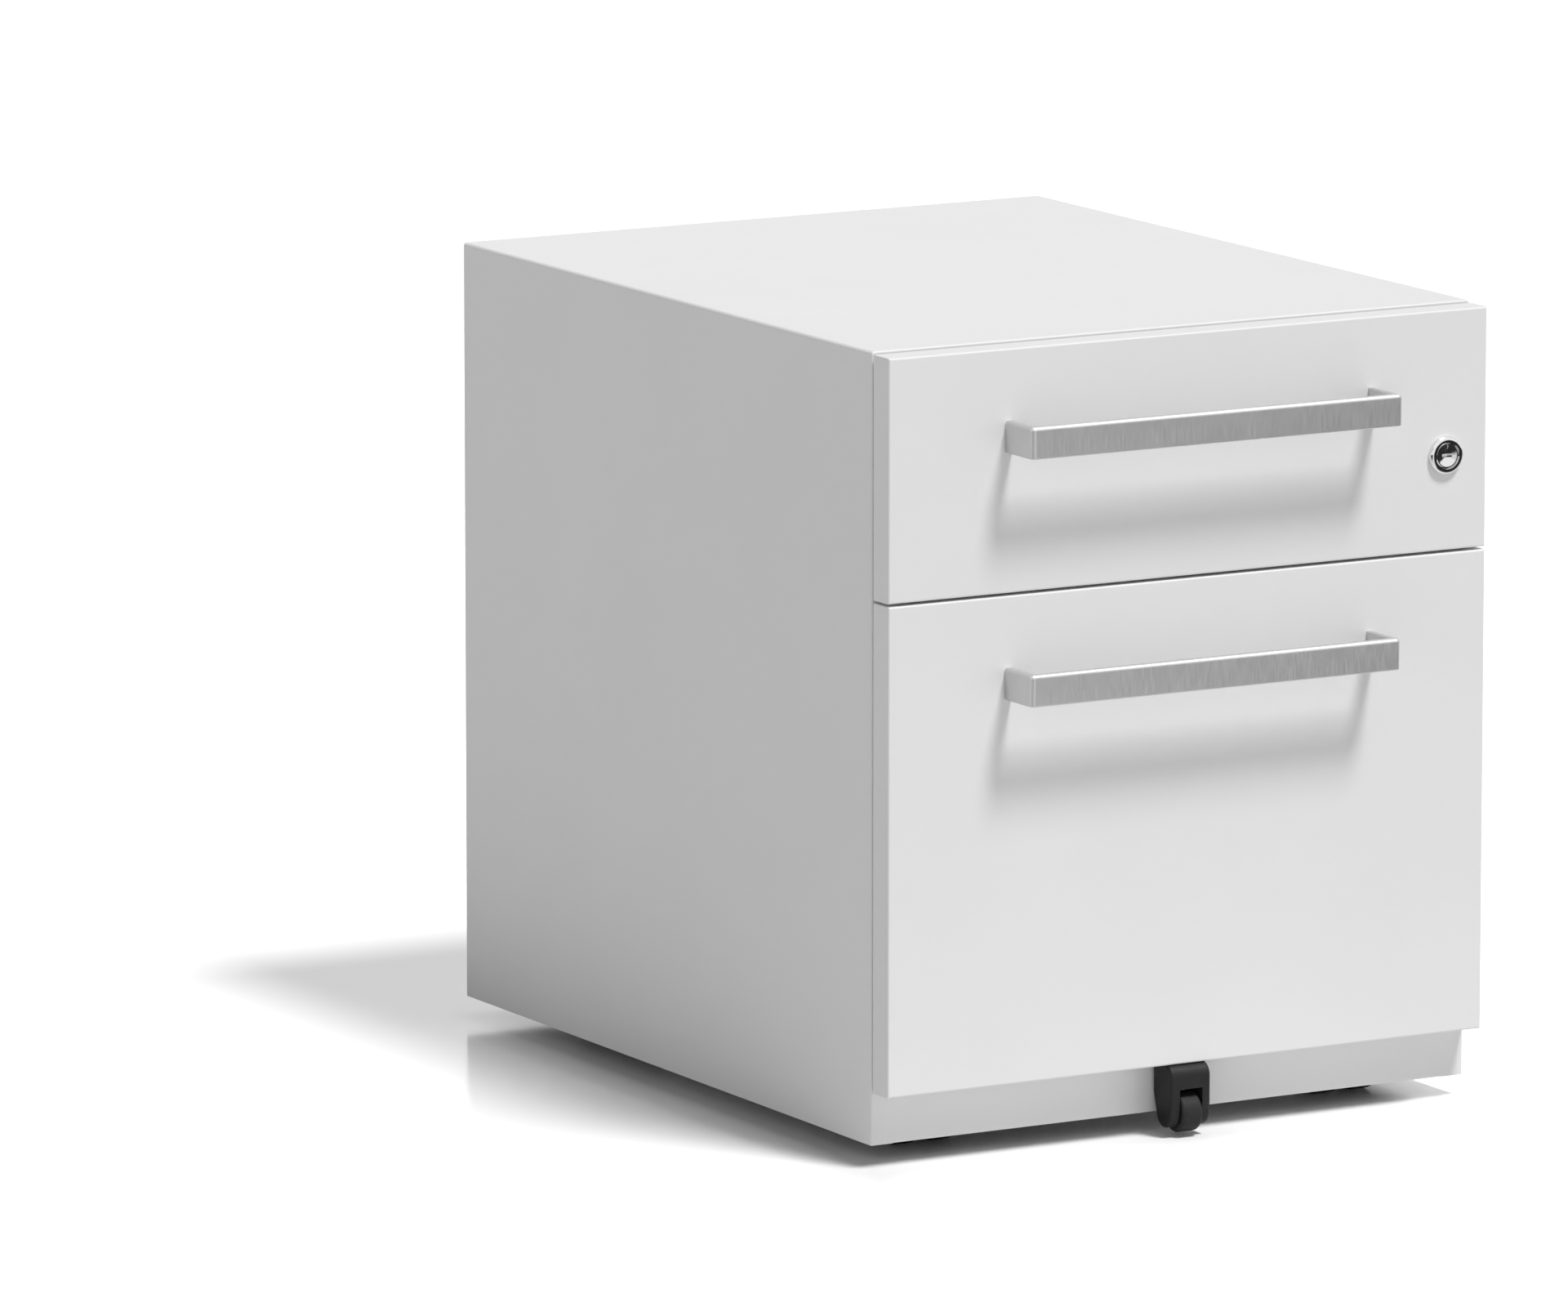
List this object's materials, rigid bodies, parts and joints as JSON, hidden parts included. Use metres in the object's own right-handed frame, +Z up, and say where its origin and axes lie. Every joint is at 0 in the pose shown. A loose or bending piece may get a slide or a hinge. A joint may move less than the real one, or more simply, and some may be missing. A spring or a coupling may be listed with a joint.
{
  "type": "metal filing cabinet",
  "caption": "White powder-coated steel pedestal on hidden casters, with a shallow drawer over a filing drawer, bar handles, a cam lock and an anti-tip wheel.",
  "frame": {"origin": "on the floor, under the middle of the bounding box", "axes": "+X right seen from the front, +Y from the drawer fronts to the back, +Z up"},
  "size_m": [0.42, 0.565, 0.495],
  "materials": {
    "white_coat": "fine satin powder coat",
    "handle_metal": "satin",
    "lock_chrome": "polished",
    "zinc_steel": "bright zinc plate",
    "black_plastic": "fine moulded texture",
    "wheel_tread": "worn satin"
  },
  "bodies": {
    "cabinet": {"cabinet_wrap": "white_coat", "back_panel": "white_coat", "base_panel": "white_coat", "front_plinth": "white_coat", "runner_upright_front_left": "white_coat", "runner_upright_front_right": "white_coat", "runner_upright_rear_left": "white_coat", "runner_upright_rear_right": "white_coat", "upper_runner_outer_left": "zinc_steel", "upper_runner_outer_right": "zinc_steel", "lower_runner_outer_left": "zinc_steel", "lower_runner_outer_right": "zinc_steel", "runner_screws": "zinc_steel", "caster_plates": "zinc_steel", "caster_screws": "zinc_steel", "lock_bar_guides": "black_plastic"},
    "lock_bar": {"lock_bar": "zinc_steel"},
    "lock_plug": {"lock_plug": "lock_chrome", "lock_cam": "zinc_steel"},
    "fifth_wheel": {"fifth_wheel": "wheel_tread"},
    "upper_drawer": {"upper_drawer_front": "white_coat", "upper_drawer_liner": "white_coat", "upper_drawer_tray": "white_coat", "upper_drawer_back": "white_coat", "upper_handle": "handle_metal", "upper_handle_nuts": "zinc_steel", "upper_runner_inner_left": "zinc_steel", "upper_runner_inner_right": "zinc_steel", "lock_barrel": "lock_chrome", "lock_nut": "zinc_steel"},
    "upper_runner_middle": {"upper_runner_middle_left": "zinc_steel", "upper_runner_middle_right": "zinc_steel"},
    "upper_balls_outer": {"upper_runner_balls_outer": "zinc_steel"},
    "upper_balls_inner": {"upper_runner_balls_inner": "zinc_steel"},
    "lower_drawer": {"lower_drawer_front": "white_coat", "lower_drawer_liner": "white_coat", "lower_drawer_tray": "white_coat", "lower_drawer_back": "white_coat", "lower_handle": "handle_metal", "lower_handle_nuts": "zinc_steel", "lower_runner_inner_left": "zinc_steel", "lower_runner_inner_right": "zinc_steel", "filing_rail_left": "white_coat", "filing_rail_right": "white_coat", "lower_lock_catch": "zinc_steel", "fifth_wheel_housing": "black_plastic", "fifth_wheel_axle": "black_plastic", "fifth_wheel_screws": "zinc_steel"},
    "lower_runner_middle": {"lower_runner_middle_left": "zinc_steel", "lower_runner_middle_right": "zinc_steel"},
    "lower_balls_outer": {"lower_runner_balls_outer": "zinc_steel"},
    "lower_balls_inner": {"lower_runner_balls_inner": "zinc_steel"},
    "caster_front_left": {"caster_housing_front_left": "black_plastic"},
    "wheels_front_left": {"caster_wheels_front_left": "wheel_tread"},
    "caster_front_right": {"caster_housing_front_right": "black_plastic"},
    "wheels_front_right": {"caster_wheels_front_right": "wheel_tread"},
    "caster_rear_left": {"caster_housing_rear_left": "black_plastic"},
    "wheels_rear_left": {"caster_wheels_rear_left": "wheel_tread"},
    "caster_rear_right": {"caster_housing_rear_right": "black_plastic"},
    "wheels_rear_right": {"caster_wheels_rear_right": "wheel_tread"}
  },
  "joints": [
    {"name": "upper_drawer_slide", "type": "slide", "parent": "cabinet", "child": "upper_drawer", "axis": [0, -1, 0], "range_m": [0, 0.4]},
    {"name": "upper_runner_middle_slide", "type": "slide", "parent": "cabinet", "child": "upper_runner_middle", "axis": [0, -1, 0], "range_m": [0, 0.2]},
    {"name": "upper_balls_outer_slide", "type": "slide", "parent": "cabinet", "child": "upper_balls_outer", "axis": [0, -1, 0], "range_m": [0, 0.1]},
    {"name": "upper_balls_inner_slide", "type": "slide", "parent": "cabinet", "child": "upper_balls_inner", "axis": [0, -1, 0], "range_m": [0, 0.3]},
    {"name": "lower_drawer_slide", "type": "slide", "parent": "cabinet", "child": "lower_drawer", "axis": [0, -1, 0], "range_m": [0, 0.4]},
    {"name": "lower_runner_middle_slide", "type": "slide", "parent": "cabinet", "child": "lower_runner_middle", "axis": [0, -1, 0], "range_m": [0, 0.2]},
    {"name": "lower_balls_outer_slide", "type": "slide", "parent": "cabinet", "child": "lower_balls_outer", "axis": [0, -1, 0], "range_m": [0, 0.1]},
    {"name": "lower_balls_inner_slide", "type": "slide", "parent": "cabinet", "child": "lower_balls_inner", "axis": [0, -1, 0], "range_m": [0, 0.3]},
    {"name": "lock_turn", "type": "hinge", "parent": "upper_drawer", "child": "lock_plug", "pos_m": [0.1803, -0.2505, 0.4043], "axis": [0, 1, 0], "range_deg": [0, 90]},
    {"name": "lock_bar_slide", "type": "slide", "parent": "cabinet", "child": "lock_bar", "axis": [0, 0, -1], "range_m": [0, 0.008]},
    {"name": "fifth_wheel_spin", "type": "hinge", "parent": "lower_drawer", "child": "fifth_wheel", "pos_m": [0, -0.2448, 0.015], "axis": [1, 0, 0], "continuous": true},
    {"name": "caster_swivel_front_left", "type": "hinge", "parent": "cabinet", "child": "caster_front_left", "pos_m": [-0.15002, -0.16362, 0.045], "axis": [0, 0, 1], "continuous": true},
    {"name": "wheel_spin_front_left", "type": "hinge", "parent": "caster_front_left", "child": "wheels_front_left", "pos_m": [-0.15002, -0.17962, 0.02], "axis": [1, 0, 0], "continuous": true},
    {"name": "caster_swivel_front_right", "type": "hinge", "parent": "cabinet", "child": "caster_front_right", "pos_m": [0.15002, -0.16362, 0.045], "axis": [0, 0, 1], "continuous": true},
    {"name": "wheel_spin_front_right", "type": "hinge", "parent": "caster_front_right", "child": "wheels_front_right", "pos_m": [0.15002, -0.17962, 0.02], "axis": [1, 0, 0], "continuous": true},
    {"name": "caster_swivel_rear_left", "type": "hinge", "parent": "cabinet", "child": "caster_rear_left", "pos_m": [-0.15002, 0.20782, 0.045], "axis": [0, 0, 1], "continuous": true},
    {"name": "wheel_spin_rear_left", "type": "hinge", "parent": "caster_rear_left", "child": "wheels_rear_left", "pos_m": [-0.15002, 0.19182, 0.02], "axis": [1, 0, 0], "continuous": true},
    {"name": "caster_swivel_rear_right", "type": "hinge", "parent": "cabinet", "child": "caster_rear_right", "pos_m": [0.15002, 0.20782, 0.045], "axis": [0, 0, 1], "continuous": true},
    {"name": "wheel_spin_rear_right", "type": "hinge", "parent": "caster_rear_right", "child": "wheels_rear_right", "pos_m": [0.15002, 0.19182, 0.02], "axis": [1, 0, 0], "continuous": true}
  ],
  "couplings": [
    {"joint": "upper_runner_middle_slide", "follows": "upper_drawer_slide", "ratio": 0.5},
    {"joint": "upper_balls_outer_slide", "follows": "upper_drawer_slide", "ratio": 0.25},
    {"joint": "upper_balls_inner_slide", "follows": "upper_drawer_slide", "ratio": 0.75},
    {"joint": "lower_runner_middle_slide", "follows": "lower_drawer_slide", "ratio": 0.5},
    {"joint": "lower_balls_outer_slide", "follows": "lower_drawer_slide", "ratio": 0.25},
    {"joint": "lower_balls_inner_slide", "follows": "lower_drawer_slide", "ratio": 0.75},
    {"joint": "lock_bar_slide", "follows": "lock_turn", "m_per_rad": 0.005093}
  ]
}
